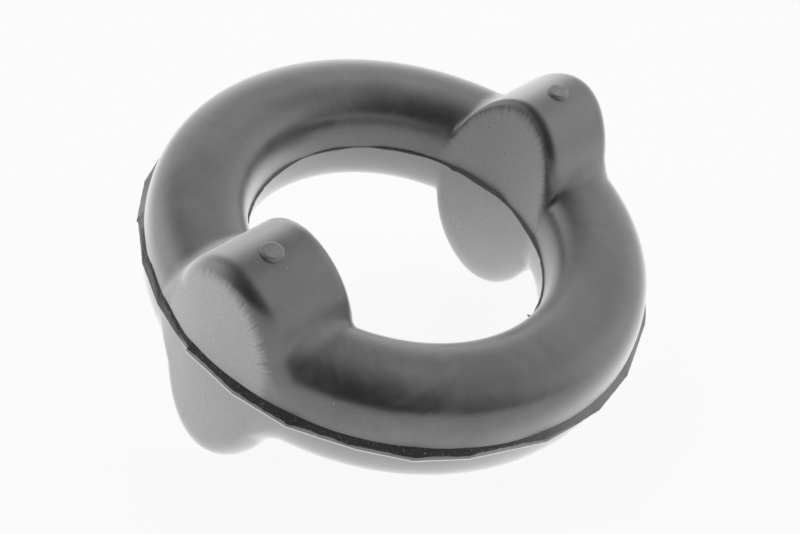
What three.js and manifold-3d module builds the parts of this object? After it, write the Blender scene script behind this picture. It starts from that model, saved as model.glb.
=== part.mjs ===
// Exhaust hanger rubber: a moulded ring with a bump stop at each end of one diameter.
// Millimetres. The ring's axis is Z, the bump stops lie along X,
// and the two halves of the mould meet at z = 0, where the trimmed flash runs round.

import * as THREE from 'three';
import { ParametricGeometry } from 'three/addons/geometries/ParametricGeometry.js';
import { mergeVertices } from 'three/addons/utils/BufferGeometryUtils.js';
import Module from 'manifold-3d';

const wasm = await Module();
wasm.setup();

// Ring: its section is taller than it is wide, with full, round shoulders.
const RING_RADIUS = 26;
const SECTION_HALF_WIDTH = 6.4;
const SECTION_HALF_HEIGHT = 7.45;
const SECTION_FULLNESS = 3.1;

// Bump stops: oval barrels that lie along X and stand proud above and below the ring.
// The line through them passes a little to one side of the ring's centre, as moulded.
const STOP_HALF_WIDTH = 9.4;
const STOP_ABOVE = 15.3;
const STOP_BELOW = 16;
const STOP_FULLNESS = 2;
const STOP_SIDE_SHIFT = -0.45;

// Rounded edges of the barrels' ends, and the fillet where a barrel runs into the ring.
const OUTER_EDGE_RADIUS = 2;
const INNER_EDGE_RADIUS = 1.1;
const BLEND_RADIUS = 1.8;

// Flash at the mould line: trimmed with a knife outside, torn off inside.
// The knife leans, so the outer flash is thin at its edge, and its edge lies a little low.
const OUTER_FLASH_THICKNESS = 1.1;
const OUTER_FLASH_WIDTH = 1.15;
const OUTER_FLASH_TIP = 0.4;
const OUTER_FLASH_DROP = 0.15;
const INNER_FLASH_THICKNESS = 0.5;
const INNER_FLASH_WIDTH = 0.45;
const INNER_FLASH_TIP = 0.3;

// The outer flash is wider on one side, because its outer edge is off centre.
const FLASH_SHIFT = 0.35;
const FLASH_SHIFT_DEGREES = 190;

// Straight strokes of the trimming knife: where each one's middle lies round the ring,
// and how much of the flash it leaves there.
const KNIFE_STROKES = [
  { degrees: 146, left: 0.2 },
  { degrees: 289, left: 0.4 },
  { degrees: 30, left: 0.6 },
];
const LEAST_FLASH = 0.15;

// The torn inner edge wanders in and out by this share of its width.
const TEAR = 0.35;
const TEAR_WAVES = [5, 13];

// Vent plugs: small discs that stand on the crowns of the bump stops.
const PLUG_RADIUS = 1.5;
const PLUG_TOP_RADIUS = 1.35;
const PLUG_HEIGHT = 0.4;
const PLUG_DEPTH = 1.5;
const PLUG_SIDES = 20;

// Fineness of the mesh: how many sections there are round the ring, and how many steps
// each takes over the top and underneath. A bend costs as much as this length of outline,
// and a climb of the crest counts this many times over.
const STATIONS = 132;
const STEPS_OVER = 18;
const BEND_WEIGHT = 5;
const CLIMB_WEIGHT = 3;
const STATION_TRIALS = 720;
const OUTLINE_TRIALS = 120;
const SMOOTHED_STATIONS = 4;
const HALVINGS = 30;

const rubber = new THREE.MeshStandardMaterial({
  name: 'moulded black rubber',
  color: '#5f6060',
  roughness: 0.55,
  metalness: 0,
});

// Distance from the oval |u / a| ^ n + |v / b| ^ n = 1, close to exact near its edge.
function ovalDistance(u, v, a, b, n) {
  const x = Math.abs(u) / a + 1e-6;
  const y = Math.abs(v) / b + 1e-6;
  const size = (x ** n + y ** n) ** (1 / n);
  const slopeX = (x / size) ** (n - 1) / a;
  const slopeY = (y / size) ** (n - 1) / b;
  return (size - 1) / Math.hypot(slopeX, slopeY);
}

// What two shapes share, with the edge between them rounded.
function roundedEdge(d1, d2, radius) {
  const p = d1 + radius;
  const q = d2 + radius;
  return Math.min(Math.max(p, q), 0) + Math.hypot(Math.max(p, 0), Math.max(q, 0)) - radius;
}

// Two shapes joined, with a fillet in the corner between them.
function filletedJoin(d1, d2, radius) {
  const p = Math.max(radius - d1, 0);
  const q = Math.max(radius - d2, 0);
  return Math.max(Math.min(d1, d2), radius) - Math.hypot(p, q);
}

// Distance from the body's surface, negative inside, at an angle round the ring,
// a radial offset from the middle of the section and a height. The flash isn't in it.
function bodyDistance(angle, offset, z) {
  const outerWall = offset - SECTION_HALF_WIDTH;
  const innerWall = -offset - SECTION_HALF_WIDTH;
  const sideways = (RING_RADIUS + offset) * Math.sin(angle) - STOP_SIDE_SHIFT;
  const stopHeight = z > 0 ? STOP_ABOVE : STOP_BELOW;
  const barrel = ovalDistance(sideways, z, STOP_HALF_WIDTH, stopHeight, STOP_FULLNESS);
  const trimmedOutside = roundedEdge(barrel, outerWall, OUTER_EDGE_RADIUS);
  const stop = roundedEdge(trimmedOutside, innerWall, INNER_EDGE_RADIUS);
  const ring = ovalDistance(offset, z, SECTION_HALF_WIDTH, SECTION_HALF_HEIGHT, SECTION_FULLNESS);
  return Math.max(filletedJoin(ring, stop, BLEND_RADIUS), outerWall, innerWall);
}

// How far the surface is from the point (0, z) of the section, in a given direction.
function reach(angle, z, directionX, directionZ) {
  let near = 0;
  let far = SECTION_HALF_WIDTH + SECTION_HALF_HEIGHT + Math.max(STOP_ABOVE, STOP_BELOW);
  for (let i = 0; i < HALVINGS; i++) {
    const middle = (near + far) / 2;
    if (bodyDistance(angle, middle * directionX, z + middle * directionZ) < 0) {
      near = middle;
    } else {
      far = middle;
    }
  }
  return near;
}

// The point of the section's outline that is seen from its middle at a given turn.
function outlinePoint(angle, turn) {
  const distance = reach(angle, 0, Math.cos(turn), Math.sin(turn));
  return new THREE.Vector2(distance * Math.cos(turn), distance * Math.sin(turn));
}

// Shares from 0 to 1 that divide a path evenly, by its length and by how much it bends.
function evenShares(pointAt, count, trialSteps) {
  const walked = [0];
  let last = pointAt(0);
  let heading = null;
  for (let i = 1; i <= trialSteps; i++) {
    const point = pointAt(i / trialSteps);
    const step = point.clone().sub(last);
    let bend = 0;
    if (heading !== null) {
      bend = Math.abs(heading.cross(step)) / (heading.length() * step.length());
    }
    walked.push(walked[i - 1] + step.length() + bend * BEND_WEIGHT);
    last = point;
    heading = step;
  }
  const shares = [];
  let k = 0;
  for (let i = 0; i <= count; i++) {
    const target = walked[trialSteps] * i / count;
    while (k < trialSteps - 1 && walked[k + 1] < target) {
      k++;
    }
    const within = (target - walked[k]) / (walked[k + 1] - walked[k]);
    shares.push((k + within) / trialSteps);
  }
  return shares;
}

// Half of the outline, over the top (side 1) or underneath (side -1), as a path
// from the root of the outer flash to the root of the inner flash.
function halfPath(angle, side) {
  const outerZ = side * OUTER_FLASH_THICKNESS / 2;
  const innerZ = side * INNER_FLASH_THICKNESS / 2;
  const from = Math.atan2(outerZ, reach(angle, outerZ, 1, 0));
  const to = Math.atan2(innerZ, -reach(angle, innerZ, -1, 0));
  return (share) => outlinePoint(angle, from + (to - from) * share);
}

// The same half of the outline at every station. The shares are averaged over a few stations
// on either side, so that the lines of points run smoothly along the ring.
function halfOutlines(angles, side) {
  const paths = angles.map((angle) => halfPath(angle, side));
  const shares = paths.map((path) => evenShares(path, STEPS_OVER, OUTLINE_TRIALS));
  return paths.map((path, i) => shares[i].map((_, k) => {
    let total = 0;
    for (let j = i - SMOOTHED_STATIONS; j <= i + SMOOTHED_STATIONS; j++) {
      total += shares[(j + angles.length) % angles.length][k];
    }
    return path(total / (2 * SMOOTHED_STATIONS + 1));
  }));
}

// Offset of the outer flash's edge from the middle of the section.
function outerFlashEdge(angle) {
  const shift = FLASH_SHIFT * Math.cos(angle - THREE.MathUtils.degToRad(FLASH_SHIFT_DEGREES));
  const wall = RING_RADIUS + SECTION_HALF_WIDTH;
  let edge = wall + OUTER_FLASH_WIDTH + shift;
  for (const stroke of KNIFE_STROKES) {
    const away = Math.cos(angle - THREE.MathUtils.degToRad(stroke.degrees));
    if (away > 0.5) {
      edge = Math.min(edge, (wall + stroke.left) / away);
    }
  }
  return Math.max(edge, wall + LEAST_FLASH) - RING_RADIUS;
}

// Offset of the inner flash's torn edge from the middle of the section.
function innerFlashEdge(angle) {
  const waves = Math.sin(TEAR_WAVES[0] * angle) + Math.sin(TEAR_WAVES[1] * angle + 1);
  return -SECTION_HALF_WIDTH - INNER_FLASH_WIDTH * (1 + TEAR * waves / 2);
}

// The whole section at one angle round the ring, as a closed loop of points.
function section(angle, above, below) {
  const outerEdge = outerFlashEdge(angle);
  const innerEdge = innerFlashEdge(angle);
  return [
    ...above,
    new THREE.Vector2(innerEdge, INNER_FLASH_TIP / 2),
    new THREE.Vector2(innerEdge, -INNER_FLASH_TIP / 2),
    ...below.slice().reverse(),
    new THREE.Vector2(outerEdge, -OUTER_FLASH_DROP - OUTER_FLASH_TIP / 2),
    new THREE.Vector2(outerEdge, -OUTER_FLASH_DROP + OUTER_FLASH_TIP / 2),
  ];
}

// Angles of the stations, closer together where the crest of the ring climbs a bump stop.
// They run clockwise seen from above, so that the faces point outwards.
function stationAngles() {
  const crestAt = (share) => {
    const angle = 2 * Math.PI * share;
    return new THREE.Vector2(RING_RADIUS * angle, CLIMB_WEIGHT * reach(angle, 0, 0, 1));
  };
  const shares = evenShares(crestAt, STATIONS, STATION_TRIALS).slice(0, STATIONS);
  return shares.map((share) => -2 * Math.PI * share);
}

// Ring, bump stops and flash, lofted through a section at every station.
function ringGeometry() {
  const angles = stationAngles();
  const above = halfOutlines(angles, 1);
  const below = halfOutlines(angles, -1);
  const sections = angles.map((angle, i) => section(angle, above[i], below[i]));
  const points = sections[0].length;
  const surface = (u, v, target) => {
    const station = Math.round(v * STATIONS) % STATIONS;
    const point = sections[station][Math.round(u * points) % points];
    const radius = RING_RADIUS + point.x;
    target.set(radius * Math.cos(angles[station]), radius * Math.sin(angles[station]), point.y);
  };
  return new ParametricGeometry(surface, points, STATIONS);
}

// A vent plug on the crown of the bump stop on side x (1 or -1), above or below (z 1 or -1).
function plugGeometry(x, z) {
  const height = PLUG_HEIGHT + PLUG_DEPTH;
  const crown = z > 0 ? STOP_ABOVE : STOP_BELOW;
  const geometry = new THREE.CylinderGeometry(PLUG_TOP_RADIUS, PLUG_RADIUS, height, PLUG_SIDES);
  geometry.rotateX(z * Math.PI / 2);
  geometry.translate(x * RING_RADIUS, STOP_SIDE_SHIFT, z * (crown + PLUG_HEIGHT - height / 2));
  return geometry;
}

function toSolid(geometry) {
  const bare = geometry.clone();
  bare.deleteAttribute('normal');
  bare.deleteAttribute('uv');
  const merged = mergeVertices(bare, 1e-4);
  return new wasm.Manifold(new wasm.Mesh({
    numProp: 3,
    vertProperties: new Float32Array(merged.attributes.position.array),
    triVerts: new Uint32Array(merged.index.array),
  }));
}

function toGeometry(solid) {
  const mesh = solid.getMesh();
  const geometry = new THREE.BufferGeometry();
  geometry.setAttribute('position', new THREE.BufferAttribute(mesh.vertProperties, 3));
  geometry.setIndex(new THREE.BufferAttribute(mesh.triVerts, 1));
  geometry.computeVertexNormals();
  return geometry;
}

function hangerRing() {
  let solid = toSolid(ringGeometry());
  for (const x of [-1, 1]) {
    for (const z of [-1, 1]) {
      solid = solid.add(toSolid(plugGeometry(x, z)));
    }
  }
  const mesh = new THREE.Mesh(toGeometry(solid), rubber);
  mesh.name = 'hanger_ring';
  return mesh;
}

const group = new THREE.Group();
group.name = 'exhaust_hanger_rubber';
group.add(hangerRing());

export default group;
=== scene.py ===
"""Exhaust hanger rubber: a moulded ring with a bump stop at each end of one diameter.

Metres. The ring's axis is Z, the bump stops lie along X, and the two halves of the mould
meet at z = 0. The ring lies tipped over on the floor, on the lower crowns of both stops.
"""

import math

import bpy
from mathutils import Matrix, Vector


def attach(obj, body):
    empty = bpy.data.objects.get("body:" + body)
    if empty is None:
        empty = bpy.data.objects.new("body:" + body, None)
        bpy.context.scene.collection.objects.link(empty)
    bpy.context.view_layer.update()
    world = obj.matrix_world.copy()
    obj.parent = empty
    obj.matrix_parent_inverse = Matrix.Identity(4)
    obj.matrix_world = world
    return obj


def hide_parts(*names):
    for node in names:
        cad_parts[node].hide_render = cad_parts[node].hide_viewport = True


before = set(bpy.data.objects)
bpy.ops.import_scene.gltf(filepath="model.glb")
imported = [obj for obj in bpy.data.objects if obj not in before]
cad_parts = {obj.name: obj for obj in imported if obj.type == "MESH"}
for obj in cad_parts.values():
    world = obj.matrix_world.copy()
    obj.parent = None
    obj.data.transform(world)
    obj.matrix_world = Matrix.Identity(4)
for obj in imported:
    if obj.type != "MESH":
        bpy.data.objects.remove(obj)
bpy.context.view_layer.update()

bl_info = {
    "name": "Exhaust Hanger Rubber",
    "version": (1, 0, 0),
    "blender": (4, 5, 0),
    "location": "View3D > Sidebar > Hanger",
    "description": "Builds a moulded rubber exhaust hanger ring on a pale stage",
    "category": "Add Mesh",
}

MM = 0.001
NODE = "hanger_ring"
MATH = "ShaderNodeMath"
RANGE = "ShaderNodeMapRange"
WHITE = (1, 1, 1, 1)

# Straight strokes of the trimming knife: where each one starts and ends round the ring and
# where its middle lies, in degrees, and how much of the outer flash it leaves there, in
# millimetres.
KNIFE_STROKES = [
    (95, 137.5, 119, 0.88),
    (95, 137.5, 133, 0.7),
    (137.5, 155, 145, 0.3),
    (137.5, 175, 156, 0.22),
    (145, 175, 166, 0.25),
    (175, 190, 181, 0.72),
    (175, 215, 194, 0.9),
    (188, 230, 211, 0.76),
    (205, 240, 219, 0.83),
    (218, 255, 236, 0.8),
    (230, 270, 247, 0.5),
    (248, 290, 265, 0.66),
    (262, 300, 280, 0.72),
    (275, 311, 294, 0.58),
    (300, 311, 308, 1.15),
    (311, 332, 318, 0.08),
    (325, 348, 336, 0.06),
    (340, 361, 352, 0.1),
    (0, 70, 30, 0.5),
]

# The knife's section through the outer flash. Below the first of these lengths that the
# flash stands out, it is all one steep cut, and above the second it ends in a thin lip.
STEEP_CUT = 0.15 * MM
LIPPED_CUT = 0.45 * MM

# Where the knife shaved the wall highest, in degrees, and how far from there the shaving
# keeps its height and where it ends.
SHAVED_MIDDLE = 150
SHAVED_HALF = 10
SHAVED_END = 26

# Spans round the ring, in degrees: where each one starts, is whole, starts to fade and ends. On
# the first the cut face is painted darker as shade, and on the second its edge gets a painted
# reflection and highlight.
SHADED_CUT_SPAN = (136, 143, 246, 270)
LIP_LIGHT_SPAN = (171, 174, 258, 266)

# How deep the roots of the two flashes lie in the wall, the least that the inner one stands
# out, and the power that makes their sections squarish.
OUTER_ROOT = 0.25 * MM
INNER_ROOT = 0.4 * MM
LEAST_TEAR = 0.08 * MM
FLASH_SQUARENESS = 0.3

# Lengths of the bumps along the two edges, in millimetres, and on the inner one their weight.
CUT_BUMPS = (0.7, 5.0)
TEAR_BUMPS = ((0.8, 0.5), (9.0, 1.2))

# Places where the inner flash tore off less cleanly: the middle and half the length of each,
# in degrees, how much further it stands out and how far up it lies, in millimetres.
TEARS = [
    (116, 22, 0.05, 0),
    (84, 16, -0.25, 0),
    (58, 12, -0.3, 0),
    (38, 9, 0.1, 0),
    (10, 22, 0.35, 0),
    (-2, 6, 0.25, 0.25),
    (20, 3, 0.15, -0.1),
    (-22, 18, 0.25, 0),
    (-71.5, 1, 0.6, 0),
]

# Specks of each kind: the spacing of the cells they lie in, their radius, and the share of
# the cells that have one.
DUST = (2.6 * MM, 0.1 * MM, 0.5)
PITS = (1.9 * MM, 0.09 * MM, 0.4)

# Soft boxes of the studio: direction along the floor from +X towards +Y and height above the
# floor, in degrees, how soft each one is, in degrees, and its strength. None stands on the
# camera's side, so the faces turned towards the camera stay dark.
SOFT_BOXES = [
    (45, 24, 14, 0.9),
    (42, 12, 26, 1.05),
    (120, 12, 24, 1.2),
    (120, 36, 24, 0.88),
    (318, 10, 26, 1.0),
    (330, 36, 24, 0.78),
    (30, 36, 24, 0.28),
]

# Fineness of the body: sections round the ring, points over each section, and how often
# the search for the surface halves its step.
SECTIONS = 420
SECTION_POINTS = 224
HALVINGS = 20

# Fineness of the flash: sections round the ring and points over each one.
FLASH_SECTIONS = 1440
FLASH_POINTS = 28

# Points closer than this are one, which closes the seams.
SEAM = 5e-6

# Half of the floor's side, in metres, and the width of the camera's sensor, in millimetres.
FLOOR_HALF = 3.0
SENSOR_WIDTH = 36


def linear(hex_colour):
    """Turns an sRGB hex colour into linear RGB."""
    values = [int(hex_colour[i:i + 2], 16) / 255 for i in (1, 3, 5)]
    return tuple(v / 12.92 if v <= 0.04045 else ((v + 0.055) / 1.055) ** 2.4 for v in values)


def add(tree, kind, inputs=None, operation=None, **settings):
    """Adds a node with its settings and links, and returns its first output. The inputs
    come by name, or in a list from the first one on."""
    node = tree.nodes.new(kind)
    if operation:
        node.operation = operation
    for name, value in settings.items():
        setattr(node, name, value)
    named = isinstance(inputs, dict)
    for name, value in inputs.items() if named else enumerate(inputs or []):
        if isinstance(value, bpy.types.NodeSocket):
            tree.links.new(value, node.inputs[name])
        else:
            node.inputs[name].default_value = value
    return next((socket for socket in node.outputs if socket.enabled), None)


def length(name, description, default_mm):
    """A length that a user may change, given in millimetres and kept in metres."""
    return bpy.props.FloatProperty(
        name=name, description=description, default=default_mm * MM, unit="LENGTH",
        subtype="DISTANCE", precision=5)


def number(name, description, default):
    """A plain number that a user may change."""
    return bpy.props.FloatProperty(name=name, description=description, default=default)


def degrees(name, description, default):
    """An angle that a user may change, given in degrees and kept in radians."""
    return bpy.props.FloatProperty(
        name=name, description=description, default=math.radians(default),
        subtype="ANGLE", unit="ROTATION")


def colour(name, description, default_hex):
    """A colour that a user may change, given as sRGB hex."""
    return bpy.props.FloatVectorProperty(
        name=name, description=description, default=linear(default_hex), subtype="COLOR",
        size=3, min=0, max=1)


class HangerShape(bpy.types.PropertyGroup):
    """Sizes of the ring and its bump stops."""
    ring_radius: length("Ring Radius", "From the axis to the middle of the section", 26)
    section_half_width: length("Section Half Width", "Half of the section's width", 6.4)
    section_half_height: length("Section Half Height", "Half of the section's height", 7.45)
    section_fullness: number("Section Fullness", "2 is an oval, and more is squarer", 3.1)
    stop_half_width: length("Stop Half Width", "Half of a bump stop's width", 9.4)
    stop_above: length("Stop Above", "Height of a crown above the mould line", 15.3)
    stop_below: length("Stop Below", "Depth of a crown below the mould line", 16)
    stop_fullness: number("Stop Fullness", "2 is an oval, and more is squarer", 2)
    stop_side_shift: length("Stop Side Shift", "How far the stops' line misses the axis", -0.45)
    outer_edge_radius: length("Outer Edge Radius", "Rounding of a stop's outer edge", 2)
    inner_edge_radius: length("Inner Edge Radius", "Rounding of a stop's inner edge", 1.1)
    inner_side_radius: length("Inner Side Radius", "The same rounding at the -Y side", 2)
    blend_radius: length("Blend Radius", "Fillet where a stop runs into the ring", 1.8)
    inner_blend_radius: length("Inner Blend Radius", "The same fillet at the inner wall", 0.4)


class FlashShape(bpy.types.PropertyGroup):
    """Sizes of the flash at the mould line."""
    outer_width: length("Outer Width", "How far the outer flash stands out", 1.15)
    outer_tip: length("Outer Tip", "Thickness of the outer flash at its edge", 0.22)
    outer_drop: length("Outer Drop", "How far that edge lies below the mould line", 0.2)
    cut_top: length("Cut Top", "How far above the mould line the knife's cut starts", 1.2)
    cut_bottom: length("Cut Bottom", "How far below it the flash ends at the wall", 0.5)
    shaved_height: length("Shaved Height", "How much higher it cut near -X", 1.1)
    outer_shift: length("Outer Shift", "How far the outer flash is off centre", 0.35)
    outer_shift_angle: degrees("Outer Shift Angle", "Which way it is off centre", 190)
    least_flash: length("Least Flash", "What the knife leaves at least", 0.07)
    outer_ragged: length("Outer Ragged", "How rough the cut edge is", 0.1)
    inner_thickness: length("Inner Thickness", "Thickness of the inner flash at its root", 0.3)
    inner_width: length("Inner Width", "How far the inner flash stands out", 0.32)
    inner_tip: length("Inner Tip", "Thickness of the inner flash at its torn edge", 0.1)
    inner_ragged: length("Inner Ragged", "How uneven the torn edge is", 0.45)
    seed: number("Seed", "Picks another rough edge of the same kind", 3)


class PlugShape(bpy.types.PropertyGroup):
    """Sizes of the vent plugs on the crowns."""
    radius: length("Radius", "Radius of a plug where it leaves the crown", 1.5)
    top_radius: length("Top Radius", "Radius of a plug's flat top", 1.35)
    height: length("Height", "How far a plug stands above the crown's crest", 0.33)
    stray: length("Stray", "How far the plug at -X above lies off centre, along Y", -0.37)
    depth: length("Depth", "How far a plug goes down into the crown", 0.8)


class RubberFinish(bpy.types.PropertyGroup):
    """Colours and surface of the rubber."""
    skin: colour("Skin", "Moulded skin of the ring", "#2f3030")
    bloom: colour("Bloom", "Paler patches where the rubber has bloomed", "#525353")
    wall: colour("Wall", "Paler grains on the ends of the bump stops", "#9c9d9d")
    wall_dark: colour("Wall Dark", "Darker grains on the ends of the bump stops", "#868787")
    # Painted light: the paler lower half stands in for the light that the bright floor throws up
    # at it.
    lower: colour("Lower", "Duller skin of the lower half", "#9fa0a0")
    dust: colour("Dust", "Specks of dust", "#7c7c7c")
    pit: colour("Pit", "Small dark pits", "#1d1e1e")
    # Painted shade and light: the cut face is darker on the sides towards the camera and paler
    # on the others.
    cut: colour("Cut", "Sloping face that the knife left", "#2e2f2f")
    torn: colour("Torn", "That face where the knife tore it", "#7c7d7d")
    crumb: colour("Crumb", "Pale crumbs in the cut face", "#858686")
    # Painted reflection and highlight: a pale band and a near-white line along the flash's edge,
    # where it faces the bright floor.
    lip_width: length("Lip Width", "How wide the pale lip along the edge is", 0.22)
    lip: colour("Lip", "Edge of the flash, where it was bent and went pale", "#9a9b9b")
    sliver: colour("Sliver", "Torn sliver along the lower corner of that edge", "#e6e6e6")
    sliver_width: length("Sliver Width", "How wide that sliver is", 0.08)
    plug: colour("Plug", "Flat tops of the vent plugs", "#6c6d6d")
    roughness: number("Roughness", "Of the moulded skin", 0.3)
    grain_size: length("Grain Size", "Spacing of the fine moulded grain", 0.32)
    grain_depth: length("Grain Depth", "Depth of the fine moulded grain", 0.03)
    patch_size: length("Patch Size", "Spacing of the bloomed patches", 9)
    face_half_height: length("Face Half Height", "Half height of the grained ends", 15.5)
    streaks: number("Streaks", "How far the grained ends fray into streaks", 0.3)
    # Painted sheen: the colour turns pale towards the rims, at a glancing view.
    rim: colour("Rim", "Bloom seen at a glance, at the rims", "#f4f4f4")
    rim_power: number("Rim Power", "How narrow the pale rims are", 3.6)
    rim_share: number("Rim Share", "How pale the rims are", 1)
    inner_share: number("Inner Share", "How pale the inner ends are", 0.7)


class StageLook(bpy.types.PropertyGroup):
    """Floor, light and camera."""
    floor: colour("Floor", "Pale floor", "#f2f2f2")
    floor_white: number("Floor White", "Share of the floor that is plain white light", 0.9)
    floor_glow: number("Floor Glow", "Light that the table throws up at the ring", 1.3)
    fill: number("Fill", "Light between the soft boxes", 0.03)
    floor_tilt: degrees("Floor Tilt", "How far the ring is tipped over, about X", 17.3)
    floor_drop: length("Floor Drop", "From the ring's centre square down to the floor", 15.7)
    azimuth: degrees("Azimuth", "Camera's direction round the axis, from -Y towards +X", -58.157)
    elevation: degrees("Elevation", "Camera's height above the ring's own plane", 43.99)
    roll: degrees("Roll", "Camera's turn about its own line of sight", 17.282)
    distance: length("Distance", "From the camera to the ring's centre", 195.149)
    aim_right: length("Aim Right", "Ring's centre right of the camera's line of sight", -0.379)
    aim_up: length("Aim Up", "Ring's centre above the camera's line of sight", 2.204)
    lens: bpy.props.FloatProperty(
        name="Lens", description="Focal length", default=68.306, unit="CAMERA")


def labels(group):
    """A group's names as the inputs of a tree spell them."""
    return [name.replace("_", " ").title() for name in group.__annotations__]


# What each tree asks for.
SHAPE_INPUTS = labels(HangerShape)
FLASH_INPUTS = ["Ring Radius", "Section Half Width"] + labels(FlashShape)
PLUG_INPUTS = ["Ring Radius", "Stop Above", "Stop Below", "Stop Side Shift"]
PLUG_INPUTS += labels(PlugShape)


def new_tree(name, inputs, result, result_kind="NodeSocketFloat"):
    """Starts a node group with these number inputs and one output, and returns it
    with its inputs' sockets."""
    tree = bpy.data.node_groups.new(name, "GeometryNodeTree")
    for label in inputs:
        tree.interface.new_socket(label, in_out="INPUT", socket_type="NodeSocketFloat")
    tree.interface.new_socket(result, in_out="OUTPUT", socket_type=result_kind)
    return tree, add(tree, "NodeGroupInput").node.outputs


def oval_distance():
    """Distance from the oval |u / a| ^ n + |v / b| ^ n = 1, close to exact near its edge."""
    tree, given = new_tree("oval distance", ["U", "V", "A", "B", "Fullness"], "Distance")
    ratios = []
    for place, half in (("U", "A"), ("V", "B")):
        size = add(tree, MATH, [given[place]], "ABSOLUTE")
        share = add(tree, MATH, [size, given[half]], "DIVIDE")
        ratios.append(add(tree, MATH, [share, 1e-6], "ADD"))
    powers = [add(tree, MATH, [r, given["Fullness"]], "POWER") for r in ratios]
    total = add(tree, MATH, powers, "ADD")
    root = add(tree, MATH, [1.0, given["Fullness"]], "DIVIDE")
    size = add(tree, MATH, [total, root], "POWER")
    less_one = add(tree, MATH, [given["Fullness"], 1.0], "SUBTRACT")
    squares = []
    for ratio, half in zip(ratios, ("A", "B")):
        share = add(tree, MATH, [ratio, size], "DIVIDE")
        power = add(tree, MATH, [share, less_one], "POWER")
        slope = add(tree, MATH, [power, given[half]], "DIVIDE")
        squares.append(add(tree, MATH, [slope, slope], "MULTIPLY"))
    total = add(tree, MATH, squares, "ADD")
    steepness = add(tree, MATH, [total], "SQRT")
    over = add(tree, MATH, [size, 1.0], "SUBTRACT")
    distance = add(tree, MATH, [over, steepness], "DIVIDE")
    add(tree, "NodeGroupOutput", {"Distance": distance})
    return tree


def corner_distance(tree, p, q):
    """Distance from the corner where p and q are both 0; below 0 they count as 0."""
    p = add(tree, MATH, [p, 0.0], "MAXIMUM")
    q = add(tree, MATH, [q, 0.0], "MAXIMUM")
    square = add(tree, MATH, [p, p], "MULTIPLY")
    square = add(tree, MATH, [q, q, square], "MULTIPLY_ADD")
    return add(tree, MATH, [square], "SQRT")


def rounded_edge():
    """What two shapes share, with the edge between them rounded."""
    tree, given = new_tree("rounded edge", ["First", "Second", "Radius"], "Distance")
    p = add(tree, MATH, [given["First"], given["Radius"]], "ADD")
    q = add(tree, MATH, [given["Second"], given["Radius"]], "ADD")
    inside = add(tree, MATH, [p, q], "MAXIMUM")
    inside = add(tree, MATH, [inside, 0.0], "MINIMUM")
    corner = corner_distance(tree, p, q)
    outside = add(tree, MATH, [corner, given["Radius"]], "SUBTRACT")
    distance = add(tree, MATH, [inside, outside], "ADD")
    add(tree, "NodeGroupOutput", {"Distance": distance})
    return tree


def filleted_join():
    """Two shapes joined, with a fillet in the corner between them."""
    tree, given = new_tree("filleted join", ["First", "Second", "Radius"], "Distance")
    p = add(tree, MATH, [given["Radius"], given["First"]], "SUBTRACT")
    q = add(tree, MATH, [given["Radius"], given["Second"]], "SUBTRACT")
    corner = corner_distance(tree, p, q)
    nearest = add(tree, MATH, [given["First"], given["Second"]], "MINIMUM")
    nearest = add(tree, MATH, [nearest, given["Radius"]], "MAXIMUM")
    distance = add(tree, MATH, [nearest, corner], "SUBTRACT")
    add(tree, "NodeGroupOutput", {"Distance": distance})
    return tree


def body_distance():
    """Distance from the whole body, negative inside, at an angle round the ring,
    an offset outwards from the middle of the section and a height."""
    oval, edge, join = oval_distance(), rounded_edge(), filleted_join()
    tree, given = new_tree("body distance", ["Angle", "Offset", "Height"] + SHAPE_INPUTS,
                           "Distance")
    half_width = given["Section Half Width"]
    outer = add(tree, MATH, [given["Offset"], half_width], "SUBTRACT")
    inner = add(tree, MATH, [given["Offset"], half_width], "ADD")
    inner = add(tree, MATH, [inner, -1.0], "MULTIPLY")
    radius = add(tree, MATH, [given["Ring Radius"], given["Offset"]], "ADD")
    sideways = add(tree, MATH, [given["Angle"]], "SINE")
    sideways = add(tree, MATH, [radius, sideways], "MULTIPLY")
    sideways = add(tree, MATH, [sideways, given["Stop Side Shift"]], "SUBTRACT")
    above = add(tree, MATH, [given["Height"], 0.0], "GREATER_THAN")
    taller = add(tree, MATH, [given["Stop Above"], given["Stop Below"]], "SUBTRACT")
    crown = add(tree, MATH, [above, taller, given["Stop Below"]], "MULTIPLY_ADD")
    stop = add(tree, "GeometryNodeGroup", {
        "U": sideways, "V": given["Height"], "A": given["Stop Half Width"], "B": crown,
        "Fullness": given["Stop Fullness"]}, node_tree=oval)
    stop = add(tree, "GeometryNodeGroup", {
        "First": stop, "Second": outer, "Radius": given["Outer Edge Radius"]}, node_tree=edge)
    # The inner edge is rounder at the side towards -Y.
    side = add(tree, MATH, [given["Stop Half Width"], -1.0], "MULTIPLY")
    rounding = add(tree, RANGE, {
        "Value": sideways, "From Min": 0.0, "From Max": side,
        "To Min": given["Inner Edge Radius"], "To Max": given["Inner Side Radius"]})
    stop = add(tree, "GeometryNodeGroup", {
        "First": stop, "Second": inner, "Radius": rounding}, node_tree=edge)
    ring = add(tree, "GeometryNodeGroup", {
        "U": given["Offset"], "V": given["Height"], "A": half_width,
        "B": given["Section Half Height"], "Fullness": given["Section Fullness"]},
        node_tree=oval)
    # The fillet is small at the inner wall and grows to its full size at the crest.
    middle = add(tree, MATH, [half_width, -1.0], "MULTIPLY")
    blend = add(tree, RANGE, {
        "Value": given["Offset"], "From Min": middle, "From Max": 0.0,
        "To Min": given["Inner Blend Radius"], "To Max": given["Blend Radius"]})
    both = add(tree, "GeometryNodeGroup", {
        "First": ring, "Second": stop, "Radius": blend}, node_tree=join)
    both = add(tree, MATH, [both, outer], "MAXIMUM")
    both = add(tree, MATH, [both, inner], "MAXIMUM")
    add(tree, "NodeGroupOutput", {"Distance": both})
    return tree


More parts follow.
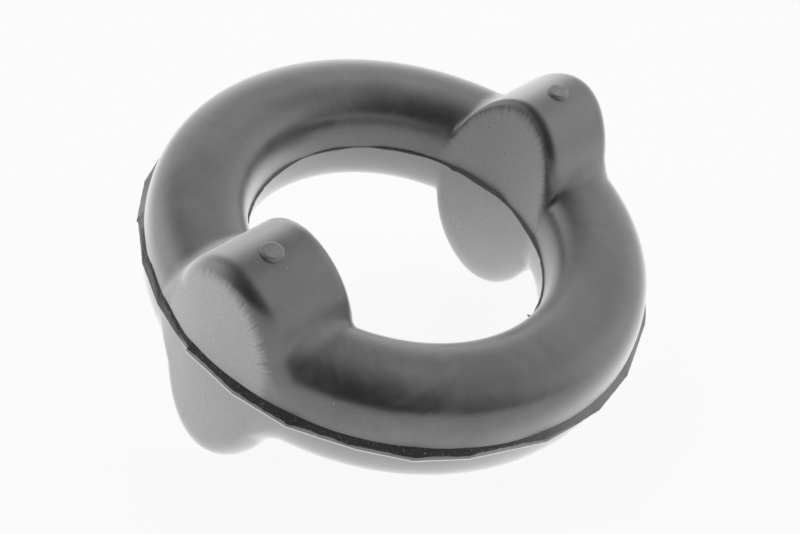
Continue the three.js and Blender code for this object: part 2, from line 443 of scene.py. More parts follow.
def round_grid(tree, columns, rows):
    """A grid that becomes a closed ring: returns its mesh, the angle round the ring
    and the turn over the section, both running through a full circle."""
    mesh = add(tree, "GeometryNodeMeshGrid", {
        "Size X": 2 * math.pi, "Size Y": 2 * math.pi,
        "Vertices X": columns + 1, "Vertices Y": rows + 1})
    place = add(tree, "ShaderNodeSeparateXYZ", [add(tree, "GeometryNodeInputPosition")])
    both = [place, place.node.outputs["Y"]]
    for label, value in zip(("angle", "turn"), both):
        mesh = add(tree, "GeometryNodeStoreNamedAttribute",
                   {"Geometry": mesh, "Name": label, "Value": value})
    read = [add(tree, "GeometryNodeInputNamedAttribute", {"Name": label})
            for label in ("angle", "turn")]
    return mesh, read[0], read[1]


def round_place(tree, angle, radius, height):
    """The place at this angle round the axis, radius and height."""
    flat = []
    for way in ("COSINE", "SINE"):
        wave = add(tree, MATH, [angle], way)
        flat.append(add(tree, MATH, [wave, radius], "MULTIPLY"))
    return add(tree, "ShaderNodeCombineXYZ", [*flat, height])


def close_up(tree, mesh, angle, radius, height):
    """Bends the grid round the ring's axis, joins its seams and gives it its material."""
    place = round_place(tree, angle, radius, height)
    mesh = add(tree, "GeometryNodeSetPosition", {"Geometry": mesh, "Position": place})
    mesh = add(tree, "GeometryNodeMergeByDistance", {"Geometry": mesh, "Distance": SEAM})
    return finish_tree(tree, mesh)


def finish_tree(tree, mesh):
    """Ends a tree with smoothly shaded faces, real meshes and the material."""
    tree.interface.new_socket("Material", in_out="INPUT", socket_type="NodeSocketMaterial")
    material = tree.nodes["Group Input"].outputs["Material"]
    mesh = add(tree, "GeometryNodeSetShadeSmooth", {"Geometry": mesh, "Shade Smooth": True})
    mesh = add(tree, "GeometryNodeRealizeInstances", {"Geometry": mesh})
    mesh = add(tree, "GeometryNodeSetMaterial", {"Geometry": mesh, "Material": material})
    add(tree, "NodeGroupOutput", {"Geometry": mesh})
    return tree


def ring_body_tree():
    """Ring and bump stops: rays from the middle of the section stop at the surface."""
    tree, given = new_tree("ring body", SHAPE_INPUTS, "Geometry", "NodeSocketGeometry")
    mesh, angle, turn = round_grid(tree, SECTIONS, SECTION_POINTS)
    # Both run a little slower over the bump stops and their crowns, to bring points there.
    twice = add(tree, MATH, [angle, 2.0], "MULTIPLY")
    slower = add(tree, MATH, [twice], "SINE")
    angle = add(tree, MATH, [slower, -0.2, angle], "MULTIPLY_ADD")
    twice = add(tree, MATH, [turn, 2.0], "MULTIPLY")
    faster = add(tree, MATH, [twice], "SINE")
    turn = add(tree, MATH, [faster, 0.2, turn], "MULTIPLY_ADD")
    out = add(tree, MATH, [turn], "COSINE")
    up = add(tree, MATH, [turn], "SINE")
    mesh = add(tree, "GeometryNodeStoreNamedAttribute",
               {"Geometry": mesh, "Name": "reach", "Value": 0.0})
    furthest = add(tree, MATH, [given["Stop Above"], given["Stop Below"]], "MAXIMUM")
    furthest = add(tree, MATH, [furthest, given["Section Half Width"]], "ADD")

    # Each round tries half the last step further out, and keeps it where it is still inside.
    start = tree.nodes.new("GeometryNodeRepeatInput")
    end = tree.nodes.new("GeometryNodeRepeatOutput")
    start.pair_with_output(end)
    end.repeat_items.new("FLOAT", "Step")
    start.inputs["Iterations"].default_value = HALVINGS
    tree.links.new(mesh, start.inputs["Geometry"])
    tree.links.new(furthest, start.inputs["Step"])
    step = add(tree, MATH, [start.outputs["Step"], 0.5], "MULTIPLY")
    reach = add(tree, "GeometryNodeInputNamedAttribute", {"Name": "reach"})
    trial = add(tree, MATH, [reach, step], "ADD")
    offset = add(tree, MATH, [trial, out], "MULTIPLY")
    height = add(tree, MATH, [trial, up], "MULTIPLY")
    measured = {label: given[label] for label in SHAPE_INPUTS}
    distance = add(tree, "GeometryNodeGroup", {
        "Angle": angle, "Offset": offset, "Height": height, **measured},
        node_tree=body_distance())
    inside = add(tree, MATH, [distance, 0.0], "LESS_THAN")
    kept = add(tree, MATH, [inside, step, reach], "MULTIPLY_ADD")
    mesh = add(tree, "GeometryNodeStoreNamedAttribute",
               {"Geometry": start.outputs["Geometry"], "Name": "reach", "Value": kept})
    tree.links.new(mesh, end.inputs["Geometry"])
    tree.links.new(step, end.inputs["Step"])

    reach = add(tree, "GeometryNodeInputNamedAttribute", {"Name": "reach"})
    radius = add(tree, MATH, [reach, out, given["Ring Radius"]], "MULTIPLY_ADD")
    height = add(tree, MATH, [reach, up], "MULTIPLY")
    return close_up(tree, end.outputs["Geometry"], angle, radius, height)


def rough_edge(tree, given, angle, size_mm):
    """Noise from -0.5 to 0.5 along the ring, with bumps of about this length."""
    place = round_place(tree, angle, given["Ring Radius"], given["Seed"])
    noise = add(tree, "ShaderNodeTexNoise", {
        "Vector": place, "Scale": 1 / (size_mm * MM), "Detail": 2.0, "Roughness": 0.6})
    return add(tree, MATH, [noise, 0.5], "SUBTRACT")


def flash_section(tree, mesh, turn, root, edge, top, bottom):
    """A squarish section from a buried root to an edge, where the top and the bottom each
    give a height at the root and one at the edge: returns the mesh, which keeps how far
    each point is from the edge, and the points' offset and height."""
    # A wave that is almost nothing counts as nothing, so that the section's seam closes.
    parts = []
    for way in ("COSINE", "SINE"):
        wave = add(tree, MATH, [turn], way)
        size = add(tree, MATH, [wave], "ABSOLUTE")
        size = add(tree, MATH, [size, 1e-5], "SUBTRACT")
        size = add(tree, MATH, [size, 0.0], "MAXIMUM")
        size = add(tree, MATH, [size, FLASH_SQUARENESS], "POWER")
        sign = add(tree, MATH, [wave], "SIGN")
        parts.append(add(tree, MATH, [size, sign], "MULTIPLY"))
    share = add(tree, RANGE, {
        "Value": parts[0], "From Min": -1.0, "From Max": 1.0}, clamp=False)
    offset = add(tree, RANGE, {"Value": share, "To Min": root, "To Max": edge}, clamp=False)
    top, bottom = [
        add(tree, RANGE, {"Value": share, "To Min": start, "To Max": end},
            clamp=False) for start, end in (top, bottom)]
    height = add(tree, RANGE, {
        "Value": parts[1], "From Min": -1.0, "From Max": 1.0, "To Min": bottom,
        "To Max": top}, clamp=False)
    left = add(tree, MATH, [edge, offset], "SUBTRACT")
    mesh = add(tree, "GeometryNodeStoreNamedAttribute",
               {"Geometry": mesh, "Name": "left", "Value": left})
    return mesh, offset, height


def outer_flash_tree():
    """Flash outside: off centre, cut back by straight strokes of a knife, with a rough edge."""
    tree, given = new_tree("outer flash", FLASH_INPUTS, "Geometry", "NodeSocketGeometry")
    mesh, angle, turn = round_grid(tree, FLASH_SECTIONS, FLASH_POINTS)
    wall = add(tree, MATH, [given["Ring Radius"], given["Section Half Width"]], "ADD")
    away = add(tree, MATH, [angle, given["Outer Shift Angle"]], "SUBTRACT")
    away = add(tree, MATH, [away], "COSINE")
    edge = add(tree, MATH, [given["Outer Shift"], away, given["Outer Width"]], "MULTIPLY_ADD")
    edge = add(tree, MATH, [edge, wall], "ADD")
    full = add(tree, MATH, [angle, 2 * math.pi], "FLOORED_MODULO")
    # A stroke is a straight line: its radius grows with one over the cosine of the angle
    # from its middle. The least cosine keeps that finite on the far side of the ring.
    for start, end, middle, left in KNIFE_STROKES:
        away = add(tree, MATH, [angle, math.radians(middle)], "SUBTRACT")
        away = add(tree, MATH, [away], "COSINE")
        away = add(tree, MATH, [away, 0.3], "MAXIMUM")
        cut = add(tree, MATH, [wall, left * MM], "ADD")
        cut = add(tree, MATH, [cut, away], "DIVIDE")
        begun = add(tree, MATH, [full, math.radians(start)], "LESS_THAN")
        done = add(tree, MATH, [full, math.radians(end)], "GREATER_THAN")
        outside = add(tree, MATH, [begun, done], "ADD")
        cut = add(tree, MATH, [outside, 1.0, cut], "MULTIPLY_ADD")
        edge = add(tree, MATH, [edge, cut], "MINIMUM")
    for size_mm in CUT_BUMPS:
        rough = rough_edge(tree, given, angle, size_mm)
        edge = add(tree, MATH, [rough, given["Outer Ragged"], edge], "MULTIPLY_ADD")
    least = add(tree, MATH, [wall, given["Least Flash"]], "ADD")
    edge = add(tree, MATH, [edge, least], "MAXIMUM")
    root = add(tree, MATH, [wall, OUTER_ROOT], "SUBTRACT")
    # The knife slanted down and outwards. Where it cut close, it shaved the wall itself,
    # and most of all just before the stop at -X.
    away = add(tree, MATH, [full, math.radians(SHAVED_MIDDLE)], "SUBTRACT")
    away = add(tree, MATH, [away], "ABSOLUTE")
    shaved = add(tree, RANGE, {
        "Value": away, "From Min": math.radians(SHAVED_HALF),
        "From Max": math.radians(SHAVED_END), "To Min": 1.0, "To Max": 0.0},
        interpolation_type="SMOOTHSTEP")
    crest = add(tree, MATH, [shaved, given["Shaved Height"], given["Cut Top"]], "MULTIPLY_ADD")
    foot = add(tree, MATH, [given["Cut Bottom"], -1.0], "MULTIPLY")
    stands = add(tree, MATH, [edge, wall], "SUBTRACT")
    close = add(tree, RANGE, {
        "Value": stands, "From Min": STEEP_CUT, "From Max": LIPPED_CUT, "To Min": 1.0,
        "To Max": 0.0})
    middle = add(tree, MATH, [given["Outer Drop"], -1.0], "MULTIPLY")
    tips = []
    for half, steep in ((0.5, crest), (-0.5, foot)):
        tip = add(tree, MATH, [given["Outer Tip"], half, middle], "MULTIPLY_ADD")
        tips.append(add(tree, RANGE, {"Value": close, "To Min": tip, "To Max": steep}))
    mesh, radius, height = flash_section(tree, mesh, turn, root, edge, (crest, tips[0]),
                                         (foot, tips[1]))
    return close_up(tree, mesh, angle, radius, height)


def inner_flash_tree():
    """Flash inside: a thin film that tore off, with an uneven edge."""
    tree, given = new_tree("inner flash", FLASH_INPUTS, "Geometry", "NodeSocketGeometry")
    mesh, angle, turn = round_grid(tree, FLASH_SECTIONS, FLASH_POINTS)
    wall = add(tree, MATH, [given["Ring Radius"], given["Section Half Width"]], "SUBTRACT")
    stand = given["Inner Width"]
    lift = None
    for size_mm, weight in TEAR_BUMPS:
        rough = rough_edge(tree, given, angle, size_mm)
        rough = add(tree, MATH, [rough, weight], "MULTIPLY")
        stand = add(tree, MATH, [rough, given["Inner Ragged"], stand], "MULTIPLY_ADD")
    for middle, half, extra, up in TEARS:
        away = add(tree, MATH, [angle, math.radians(middle)], "SUBTRACT")
        away = add(tree, MATH, [away, math.pi, -math.pi], "WRAP")
        away = add(tree, MATH, [away], "ABSOLUTE")
        near = add(tree, RANGE, {
            "Value": away, "From Min": 0.0, "From Max": math.radians(half),
            "To Min": 1.0, "To Max": 0.0}, interpolation_type="SMOOTHSTEP")
        stand = add(tree, MATH, [near, extra * MM, stand], "MULTIPLY_ADD")
        raised = add(tree, MATH, [near, up * MM], "MULTIPLY")
        lift = raised if lift is None else add(tree, MATH, [lift, raised], "ADD")
    stand = add(tree, MATH, [stand, LEAST_TEAR], "MAXIMUM")
    edge = add(tree, MATH, [wall, stand], "SUBTRACT")
    root = add(tree, MATH, [wall, INNER_ROOT], "ADD")
    tops, bottoms = [
        [add(tree, MATH, [given[name], half], "MULTIPLY")
         for name in ("Inner Thickness", "Inner Tip")] for half in (0.5, -0.5)]
    mesh, radius, height = flash_section(tree, mesh, turn, root, edge, tops, bottoms)
    height = add(tree, MATH, [height, lift], "ADD")
    # The section grows inwards here, which would turn its faces inside out.
    mesh = add(tree, "GeometryNodeFlipFaces", {"Mesh": mesh})
    return close_up(tree, mesh, angle, radius, height)


def vent_plug_tree():
    """A flat-topped disc, and a copy of it on each of the four crowns."""
    tree, given = new_tree("vent plugs", PLUG_INPUTS, "Geometry", "NodeSocketGeometry")
    disc = add(tree, "GeometryNodeMeshCylinder", {
        "Vertices": 64, "Side Segments": 12, "Fill Segments": 8, "Radius": 1.0,
        "Depth": 1.0})
    place = add(tree, "ShaderNodeSeparateXYZ", [add(tree, "GeometryNodeInputPosition")])
    level = add(tree, RANGE, {
        "Value": place.node.outputs["Z"], "From Min": -0.5, "From Max": 0.5})
    # The side leans in over its length, and its last eighth is rounded over.
    lean = add(tree, RANGE, {
        "Value": level, "To Min": given["Radius"], "To Max": given["Top Radius"]})
    rounding = add(tree, RANGE, {
        "Value": level, "From Min": 0.88, "From Max": 1.0, "To Min": 0.0, "To Max": 1.0})
    rounding = add(tree, MATH, [rounding, 2.5], "POWER")
    lean = add(tree, MATH, [rounding, -0.1 * MM, lean], "MULTIPLY_ADD")
    whole = add(tree, MATH, [given["Height"], given["Depth"]], "ADD")
    drop = add(tree, MATH, [given["Depth"], -1.0], "MULTIPLY")
    height = add(tree, MATH, [level, whole, drop], "MULTIPLY_ADD")
    east = add(tree, MATH, [place, lean], "MULTIPLY")
    north = add(tree, MATH, [place.node.outputs["Y"], lean], "MULTIPLY")
    place = add(tree, "ShaderNodeCombineXYZ", [east, north, height])
    disc = add(tree, "GeometryNodeSetPosition", {"Geometry": disc, "Position": place})

    # Points 0 and 1 are the upper crowns, and 2 and 3 are the lower ones.
    index = add(tree, "GeometryNodeInputIndex")
    odd = add(tree, MATH, [index, 2.0], "FLOORED_MODULO")
    side = add(tree, MATH, [odd, 2.0, -1.0], "MULTIPLY_ADD")
    east = add(tree, MATH, [side, given["Ring Radius"]], "MULTIPLY")
    under = add(tree, MATH, [index, 1.5], "GREATER_THAN")
    whole = add(tree, MATH, [given["Stop Above"], given["Stop Below"]], "ADD")
    whole = add(tree, MATH, [whole, -1.0], "MULTIPLY")
    height = add(tree, MATH, [under, whole, given["Stop Above"]], "MULTIPLY_ADD")
    first = add(tree, MATH, [index, 0.5], "LESS_THAN")
    north = add(tree, MATH, [first, given["Stray"], given["Stop Side Shift"]], "MULTIPLY_ADD")
    place = add(tree, "ShaderNodeCombineXYZ", [east, north, height])
    crowns = add(tree, "GeometryNodePoints", {"Count": 4, "Position": place})
    over = add(tree, MATH, [under, math.pi], "MULTIPLY")
    turned = add(tree, "ShaderNodeCombineXYZ", [over])
    turned = add(tree, "FunctionNodeEulerToRotation", [turned])
    discs = add(tree, "GeometryNodeInstanceOnPoints", {
        "Points": crowns, "Instance": disc, "Rotation": turned})
    return finish_tree(tree, discs)


def grown(name, tree, values, material):
    """Grows a plain mesh object from a tree, with its inputs set by name."""
    mesh = bpy.data.meshes.new(name + "_seed")
    seed = bpy.data.objects.new(name, mesh)
    bpy.context.scene.collection.objects.link(seed)
    modifier = seed.modifiers.new("shape", "NODES")
    modifier.node_group = tree
    for item in tree.interface.items_tree:
        if item.in_out == "INPUT" and item.socket_type == "NodeSocketMaterial":
            modifier[item.identifier] = material
        elif item.in_out == "INPUT":
            modifier[item.identifier] = float(values[item.name])
    bpy.context.view_layer.update()
    evaluated = seed.evaluated_get(bpy.context.evaluated_depsgraph_get())
    made = bpy.data.meshes.new_from_object(evaluated)
    made.name = name
    made.materials.clear()
    made.materials.append(material)
    seed.modifiers.remove(modifier)
    seed.data = made
    bpy.data.meshes.remove(mesh)
    if not made.polygons:
        raise RuntimeError(name + " came out empty")
    return seed


def place_piece(piece):
    """Puts a finished piece on the ring's body, in place of the plain solid."""
    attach(piece, "root")
    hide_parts(NODE)


def sizes_for(inputs, *groups):
    """The sizes that a tree asks for, found by name in the groups that hold them."""
    values = {}
    for label in inputs:
        name = label.lower().replace(" ", "_")
        values[label] = next(getattr(group, name) for group in groups if hasattr(group, name))
    return values


def end_faces(tree, place, shape, finish):
    """How far a point lies on the flat ends of the bump stops: returns the share for the
    outer ends and for the inner ends, each with an uneven border."""
    outer_wall = shape.ring_radius + shape.section_half_width
    inner_wall = shape.ring_radius - shape.section_half_width
    parts = add(tree, "ShaderNodeSeparateXYZ", [place])
    across, height = parts.node.outputs["Y"], parts.node.outputs["Z"]
    # The streaks show on the upper half, and hardly on the lower half.
    fray = add(tree, RANGE, {
        "Value": height, "From Min": -3 * MM, "From Max": 2 * MM,
        "To Min": 0.15 * finish.streaks, "To Max": finish.streaks})
    flat = add(tree, "ShaderNodeCombineXYZ", [parts, across])
    radius = add(tree, "ShaderNodeVectorMath", [flat], "LENGTH").node
    radius = radius.outputs["Value"]
    across = add(tree, MATH, [across, shape.stop_half_width], "DIVIDE")
    height = add(tree, MATH, [height, finish.face_half_height], "DIVIDE")
    oval = add(tree, "ShaderNodeCombineXYZ", [across, height])
    size = add(tree, "ShaderNodeVectorMath", [oval], "LENGTH").node
    # Noise that changes only with the direction draws streaks that point to the middle,
    # about one to each third of a millimetre along the border.
    ray = add(tree, "ShaderNodeVectorMath", [oval], "NORMALIZE")
    streaks = add(tree, "ShaderNodeTexNoise", {
        "Vector": ray, "Scale": 34.0, "Detail": 3.0, "Roughness": 0.6})
    wander = add(tree, MATH, [streaks, 0.5], "SUBTRACT")
    size = add(tree, MATH, [wander, fray, size.outputs["Value"]], "MULTIPLY_ADD")
    within = add(tree, RANGE, {
        "Value": size, "From Min": 0.8, "From Max": 0.98, "To Min": 1.0, "To Max": 0.0},
        interpolation_type="SMOOTHSTEP")
    outer = add(tree, RANGE, {
        "Value": radius, "From Min": outer_wall - 0.45 * MM,
        "From Max": outer_wall - 0.05 * MM}, interpolation_type="SMOOTHSTEP")
    inner = add(tree, RANGE, {
        "Value": radius, "From Min": inner_wall + 0.3 * MM,
        "From Max": inner_wall + 0.05 * MM}, interpolation_type="SMOOTHSTEP")
    outer = add(tree, MATH, [outer, within], "MULTIPLY")
    inner = add(tree, MATH, [inner, within], "MULTIPLY")
    return outer, inner


def specks(tree, place, spacing, radius, chance):
    """Tiny round specks, one in each cell of this spacing where the cell's chance allows."""
    cells = add(tree, "ShaderNodeTexVoronoi", {
        "Vector": place, "Scale": 1 / spacing, "Randomness": 1.0})
    near = add(tree, MATH, [cells, radius / spacing], "LESS_THAN")
    lot = add(tree, "ShaderNodeSeparateColor", {"Color": cells.node.outputs["Color"]})
    lucky = add(tree, MATH, [lot, chance], "LESS_THAN")
    return add(tree, MATH, [near, lucky], "MULTIPLY")


def new_material(name):
    """Starts a material: returns it with its empty tree."""
    material = bpy.data.materials.new(name)
    material.use_nodes = True
    material.node_tree.nodes.clear()
    return material, material.node_tree


def painted(tree, tone, layers):
    """Paints layers over a tone: each has the share that it covers and its colour."""
    for share, layer in layers:
        under, over = [
            value if isinstance(value, bpy.types.NodeSocket) else (*value, 1)
            for value in (tone, layer)]
        tone = add(tree, "ShaderNodeMix", {"Factor": share, "A": under, "B": over},
                   data_type="RGBA")
    return tone


def finish_rubber(tree, relief, surface):
    """Ends a rubber material with its relief and its surface."""
    bump = add(tree, "ShaderNodeBump", relief)
    shader = add(tree, "ShaderNodeBsdfPrincipled", {"Normal": bump, **surface})
    add(tree, "ShaderNodeOutputMaterial", {"Surface": shader})


def moulded_rubber(shape, finish):
    """Black rubber as it leaves a polished mould: a satin skin that mirrors soft light,
    faint bloomed patches, a fine grain, and paler, grainier ends on the bump stops."""
    material, tree = new_material("moulded_black_rubber")
    place = add(tree, "ShaderNodeTexCoord").node.outputs["Object"]
    outer, inner = end_faces(tree, place, shape, finish)

    # Bloomed patches: broad, faint and a little duller than the rest.
    patches = add(tree, "ShaderNodeTexNoise", {
        "Vector": place, "Scale": 1 / finish.patch_size, "Detail": 6.0, "Roughness": 0.65,
        "Distortion": 0.6})
    shade = add(tree, RANGE, {"Value": patches, "From Min": 0.4, "From Max": 0.64})

    # Painted light: below the mould line the colour turns paler, as if lit by the bright floor,
    # and paler still further down.
    height = add(tree, "ShaderNodeSeparateXYZ", [place]).node.outputs["Z"]
    lower = add(tree, RANGE, {
        "Value": height, "From Min": 0.0, "From Max": -0.4 * MM},
        interpolation_type="SMOOTHSTEP")
    deeper_floor_light = add(tree, RANGE, {
        "Value": height, "From Min": -1 * MM, "From Max": -10 * MM, "To Min": 0.6})
    lower = add(tree, MATH, [lower, deeper_floor_light], "MULTIPLY")

    # Grain: the mould's fine texture, drawn coarser than the real one so that it shows. On
    # the ends it is rougher, and shows as speckle too.
    grain = add(tree, "ShaderNodeTexNoise", {
        "Vector": place, "Scale": 1 / finish.grain_size, "Detail": 2.0, "Roughness": 0.6})
    speckle = add(tree, "ShaderNodeTexNoise", {
        "Vector": place, "Scale": 1.3 / finish.grain_size, "Detail": 4.0, "Roughness": 0.7})
    light = add(tree, RANGE, {"Value": speckle, "From Min": 0.36, "From Max": 0.64})
    face = painted(tree, finish.wall_dark, [(light, finish.wall)])
    half = add(tree, MATH, [inner, finish.inner_share], "MULTIPLY")

    # Painted sheen: at a glancing view the colour turns pale, which draws the rims' reflection
    # into it.
    facing = add(tree, "ShaderNodeLayerWeight", {"Blend": 0.5}).node.outputs["Facing"]
    glance = add(tree, MATH, [facing, finish.rim_power], "POWER")
    glance = add(tree, MATH, [glance, finish.rim_share], "MULTIPLY")

    # Dust and small pits, one or two in all to the square centimetre.
    dust, pits = specks(tree, place, *DUST), specks(tree, place, *PITS)
    tone = painted(tree, finish.skin, [
        (shade, finish.bloom), (lower, finish.lower), (outer, face), (half, face),
        (glance, finish.rim), (dust, finish.dust), (pits, finish.pit)])

    # The skin is glossy where the mould was polished, and the grained ends are dull.
    ends = add(tree, MATH, [outer, inner], "ADD")
    rough = add(tree, RANGE, {"Value": ends, "To Min": finish.roughness, "To Max": 0.6})
    rough = add(tree, MATH, [shade, 0.1, rough], "MULTIPLY_ADD")
    coarse = add(tree, MATH, [ends, speckle], "MULTIPLY")
    relief = add(tree, MATH, [coarse, 1.5, grain], "MULTIPLY_ADD")
    relief = {"Height": relief, "Strength": 0.35, "Distance": finish.grain_depth}
    finish_rubber(tree, relief, {
        "Base Color": tone, "Roughness": rough, "IOR": 1.6, "Specular IOR Level": 1.0,
        "Sheen Weight": 0.8, "Sheen Roughness": 0.3})
    return material


def cut_rubber(finish):
    """Black rubber that a knife cut or that tore: a dull face with pale crumbs, painted darker
    as shade on the sides towards the camera and paler as light on the others, a painted
    reflection along its edge, and a painted near-white highlight under that."""
    material, tree = new_material("cut_black_rubber")
    place = add(tree, "ShaderNodeTexCoord").node.outputs["Object"]
    grain = add(tree, "ShaderNodeTexNoise", {
        "Vector": place, "Scale": 1 / finish.grain_size, "Detail": 4.0, "Roughness": 0.75})
    crumbs = add(tree, RANGE, {"Value": grain, "From Min": 0.56, "From Max": 0.72})
    left, turn = [
        add(tree, "ShaderNodeAttribute", attribute_name=name).node.outputs["Fac"]
        for name in ("left", "turn")]
    flat = add(tree, "ShaderNodeSeparateXYZ", [place]).node
    angle = add(tree, MATH, [flat.outputs["Y"], flat.outputs["X"]], "ARCTAN2")
    angle = add(tree, MATH, [angle, 2 * math.pi], "FLOORED_MODULO")
    # Painted shade and light: the cut face is darker on the -X and -Y sides, towards the camera,
    # where no soft box stands, and paler on the others, where the light falls.
    spans = []
    for start, full, fading, end in (SHADED_CUT_SPAN, LIP_LIGHT_SPAN):
        rise = add(tree, RANGE, {
            "Value": angle, "From Min": math.radians(start), "From Max": math.radians(full)})
        fall = add(tree, RANGE, {
            "Value": angle, "From Min": math.radians(end), "From Max": math.radians(fading)})
        spans.append(add(tree, MATH, [rise, fall], "MULTIPLY"))
    shaded_side, lip_light_span = spans

    # Painted reflection: a paler band lies beyond the cut, along the edge, for the bright floor
    # that it faces. Painted highlight: the last of it goes near white, and goes on under the
    # edge, where the turn over the section is small or negative.
    wander = add(tree, "ShaderNodeTexNoise", {
        "Vector": place, "Scale": 0.1 / finish.grain_size, "Detail": 3.0, "Roughness": 0.6})
    wander = add(tree, MATH, [wander, 0.5], "SUBTRACT")
    within = add(tree, MATH, [wander, 2 * finish.lip_width, left], "MULTIPLY_ADD")
    lip = add(tree, RANGE, {
        "Value": within, "From Min": finish.lip_width + 0.05 * MM,
        "From Max": finish.lip_width - 0.05 * MM}, interpolation_type="SMOOTHSTEP")
    lip = add(tree, MATH, [lip, lip_light_span], "MULTIPLY")
    near = add(tree, MATH, [wander, 0.15 * MM, left], "MULTIPLY_ADD")
    near = add(tree, MATH, [near, finish.sliver_width], "LESS_THAN")
    under = add(tree, MATH, [turn, 0.4], "LESS_THAN")
    sliver = add(tree, MATH, [under, near], "MULTIPLY")
    sliver = add(tree, MATH, [sliver, lip_light_span], "MULTIPLY")

    # The cut face's colour: painted shade and light by side, real crumbs, then the painted
    # reflection and highlight along the edge.
    tone = painted(tree, finish.torn, [
        (shaded_side, finish.cut), (crumbs, finish.crumb), (lip, finish.lip),
        (sliver, finish.sliver)])
    relief = {"Height": grain, "Strength": 0.6, "Distance": 2 * finish.grain_depth}
    finish_rubber(tree, relief, {
        "Base Color": tone, "Roughness": 0.7, "IOR": 1.5, "Specular IOR Level": 0.4,
        "Sheen Weight": 0.2, "Sheen Roughness": 0.4})
    return material


def plug_rubber(finish):
    """Black rubber that filled a vent hole and was nipped off: dull, paler and uneven."""
    material, tree = new_material("nipped_black_rubber")
    place = add(tree, "ShaderNodeTexCoord").node.outputs["Object"]
    uneven = add(tree, "ShaderNodeTexNoise", {
        "Vector": place, "Scale": 1 / (3 * finish.grain_size), "Detail": 4.0,
        "Roughness": 0.6})
    shade = add(tree, RANGE, {"Value": uneven, "From Min": 0.35, "From Max": 0.65})
    tone = painted(tree, finish.bloom, [(shade, finish.plug)])
    relief = {"Height": uneven, "Strength": 0.5, "Distance": 3 * finish.grain_depth}
    finish_rubber(tree, relief, {
        "Base Color": tone, "Roughness": 0.4, "IOR": 1.6, "Specular IOR Level": 1.0,
        "Sheen Weight": 0.8, "Sheen Roughness": 0.3})
    return material


def build_floor(look):
    """A wide pale floor, tipped as the floor is when seen from the resting ring."""
    up = Vector((0, math.sin(look.floor_tilt), math.cos(look.floor_tilt)))
    middle = -look.floor_drop * up
    ahead = up.cross(Vector((1, 0, 0)))
    mesh = bpy.data.meshes.new("floor")
    corners = [(-1, 1), (-1, -1), (1, -1), (1, 1)]
    points = [middle + FLOOR_HALF * (a * Vector((1, 0, 0)) + b * ahead) for a, b in corners]
    mesh.from_pydata(points, [], [(0, 1, 2, 3)])
    floor = bpy.data.objects.new("floor", mesh)
    bpy.context.scene.collection.objects.link(floor)
    mesh.update()
    if mesh.polygons[0].normal.dot(up) < 0:
        mesh.flip_normals()
    material, tree = new_material("pale_floor")
    # The floor is a light table: mostly plain white from below, and the rest of it is paint
    # that takes the ring's shadow. The ring gets its full glow, and the camera sees it as
    # plain white. Its underside is clear, to show the ring from below.
    paint = add(tree, "ShaderNodeBsdfDiffuse", {"Color": (*look.floor, 1)})
    seen = add(tree, "ShaderNodeLightPath").node.outputs["Is Camera Ray"]
    glow = add(tree, RANGE, {"Value": seen, "To Min": look.floor_glow, "To Max": 1.0})
    white = add(tree, "ShaderNodeEmission", {"Color": WHITE, "Strength": glow})
    front = add(tree, "ShaderNodeMixShader", [look.floor_white, paint, white])
    clear = add(tree, "ShaderNodeBsdfTransparent")
    back = add(tree, "ShaderNodeNewGeometry").node.outputs["Backfacing"]
    both = add(tree, "ShaderNodeMixShader", [back, front, clear])
    add(tree, "ShaderNodeOutputMaterial", {"Surface": both})
    mesh.materials.append(material)


def build_light(scene, look):
    """Soft boxes painted on a dark studio, which the satin rubber mirrors softly. They fall
    off smoothly, and the camera sees plain white in their place."""
    world = bpy.data.worlds.new("studio")
    scene.world = world
    world.use_nodes = True
    tree = world.node_tree
    tree.nodes.clear()
    tilt = Matrix.Rotation(-look.floor_tilt, 3, "X")
    ray = add(tree, "ShaderNodeTexCoord").node.outputs["Generated"]
    ray = add(tree, "ShaderNodeVectorMath", [ray], "NORMALIZE")
    total = None
    for azimuth, height, softness, strength in SOFT_BOXES:
        az, el = math.radians(azimuth), math.radians(height)
        towards = tilt @ Vector((math.cos(el) * math.cos(az), math.cos(el) * math.sin(az),
                                 math.sin(el)))
        dot = add(tree, "ShaderNodeVectorMath", [ray, towards],
                  "DOT_PRODUCT").node.outputs["Value"]
        sharp = 1 / math.radians(softness) ** 2
        fall = add(tree, MATH, [dot, sharp, -sharp], "MULTIPLY_ADD")
        fall = add(tree, MATH, [fall], "EXPONENT")
        total = add(tree, MATH, [fall, strength, total or look.fill], "MULTIPLY_ADD")
    boxes = add(tree, "ShaderNodeBackground", {"Color": WHITE, "Strength": total})
    white = add(tree, "ShaderNodeBackground", {"Color": WHITE, "Strength": 1.0})
    rays = add(tree, "ShaderNodeLightPath").node.outputs
    seen = add(tree, MATH, [rays["Is Camera Ray"], rays["Is Transmission Ray"]], "MAXIMUM")
    both = add(tree, "ShaderNodeMixShader", [seen, boxes, white])
    add(tree, "ShaderNodeOutputWorld", {"Surface": both})


def build_camera(scene, look):
    """The camera, at the photograph's viewing angle."""
    az, el, roll = look.azimuth, look.elevation, look.roll
    back = Vector((math.sin(az) * math.cos(el), -math.cos(az) * math.cos(el), math.sin(el)))
    level = Vector((math.cos(az), math.sin(az), 0))
    upright = back.cross(level)
    right = math.cos(roll) * level + math.sin(roll) * upright
    up = math.cos(roll) * upright - math.sin(roll) * level
    camera = bpy.data.objects.new("camera", bpy.data.cameras.new("camera"))
    scene.collection.objects.link(camera)
    place = back * look.distance - right * look.aim_right - up * look.aim_up
    turned = Matrix((right, up, back)).transposed().to_4x4()
    camera.matrix_world = Matrix.Translation(place) @ turned
    camera.data.lens = look.lens
    camera.data.sensor_width = SENSOR_WIDTH
    camera.data.clip_start = 0.01
    camera.data.clip_end = 20
    scene.camera = camera


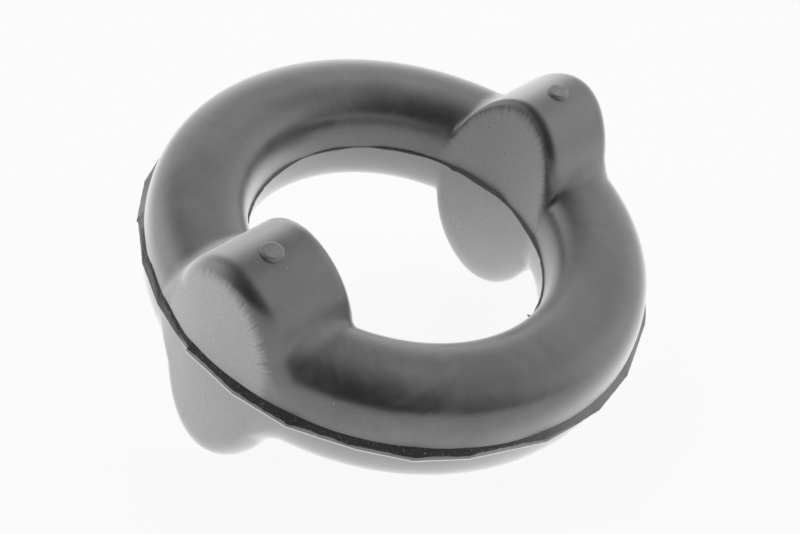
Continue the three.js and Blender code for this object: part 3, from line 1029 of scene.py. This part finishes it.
class HANGER_OT_ring_body(bpy.types.Operator):
    """Builds the ring with its two bump stops"""
    bl_idname = "hanger.ring_body"
    bl_label = "Ring Body"

    def execute(self, context):
        scene = context.scene
        material = moulded_rubber(scene.hanger_shape, scene.rubber_finish)
        values = sizes_for(SHAPE_INPUTS, scene.hanger_shape)
        place_piece(grown("ring_body", ring_body_tree(), values, material))
        return {"FINISHED"}


class HANGER_OT_flash(bpy.types.Operator):
    """Builds the trimmed flash outside and the flash that tore off inside"""
    bl_idname = "hanger.flash"
    bl_label = "Flash"

    def execute(self, context):
        scene = context.scene
        material = cut_rubber(scene.rubber_finish)
        values = sizes_for(FLASH_INPUTS, scene.hanger_shape, scene.flash_shape)
        place_piece(grown("outer_flash", outer_flash_tree(), values, material))
        place_piece(grown("inner_flash", inner_flash_tree(), values, material))
        return {"FINISHED"}


class HANGER_OT_vent_plugs(bpy.types.Operator):
    """Puts a vent plug on each crown of the bump stops"""
    bl_idname = "hanger.vent_plugs"
    bl_label = "Vent Plugs"

    def execute(self, context):
        scene = context.scene
        material = plug_rubber(scene.rubber_finish)
        values = sizes_for(PLUG_INPUTS, scene.plug_shape, scene.hanger_shape)
        place_piece(grown("vent_plugs", vent_plug_tree(), values, material))
        return {"FINISHED"}


class HANGER_OT_stage(bpy.types.Operator):
    """Lays the pale floor and sets the light and the camera"""
    bl_idname = "hanger.stage"
    bl_label = "Stage"

    def execute(self, context):
        look = context.scene.stage_look
        build_floor(look)
        build_light(context.scene, look)
        build_camera(context.scene, look)
        return {"FINISHED"}


GROUPS = {
    "hanger_shape": HangerShape,
    "flash_shape": FlashShape,
    "plug_shape": PlugShape,
    "rubber_finish": RubberFinish,
    "stage_look": StageLook,
}
STEPS = [HANGER_OT_ring_body, HANGER_OT_flash, HANGER_OT_vent_plugs, HANGER_OT_stage]


class HANGER_PT_panel(bpy.types.Panel):
    """Lists the steps that build the hanger"""
    bl_label = "Exhaust Hanger"
    bl_idname = "HANGER_PT_panel"
    bl_space_type = "VIEW_3D"
    bl_region_type = "UI"
    bl_category = "Hanger"

    def draw(self, context):
        column = self.layout.column()
        for step in STEPS:
            column.operator(step.bl_idname)
        for group in GROUPS:
            box = self.layout.box()
            for name in getattr(context.scene, group).__annotations__:
                box.prop(getattr(context.scene, group), name)


def register():
    """Makes the groups, the steps and the panel known to the program."""
    for kind in [*GROUPS.values(), *STEPS, HANGER_PT_panel]:
        bpy.utils.register_class(kind)
    for name, kind in GROUPS.items():
        setattr(bpy.types.Scene, name, bpy.props.PointerProperty(type=kind))


def unregister():
    """Takes them away again."""
    for name in GROUPS:
        delattr(bpy.types.Scene, name)
    for kind in reversed([*GROUPS.values(), *STEPS, HANGER_PT_panel]):
        bpy.utils.unregister_class(kind)


def main():
    """Builds everything, step by step."""
    register()
    bpy.context.scene.view_settings.view_transform = "Standard"
    bpy.ops.hanger.ring_body()
    bpy.ops.hanger.flash()
    bpy.ops.hanger.vent_plugs()
    bpy.ops.hanger.stage()


if __name__ == "__main__":
    main()
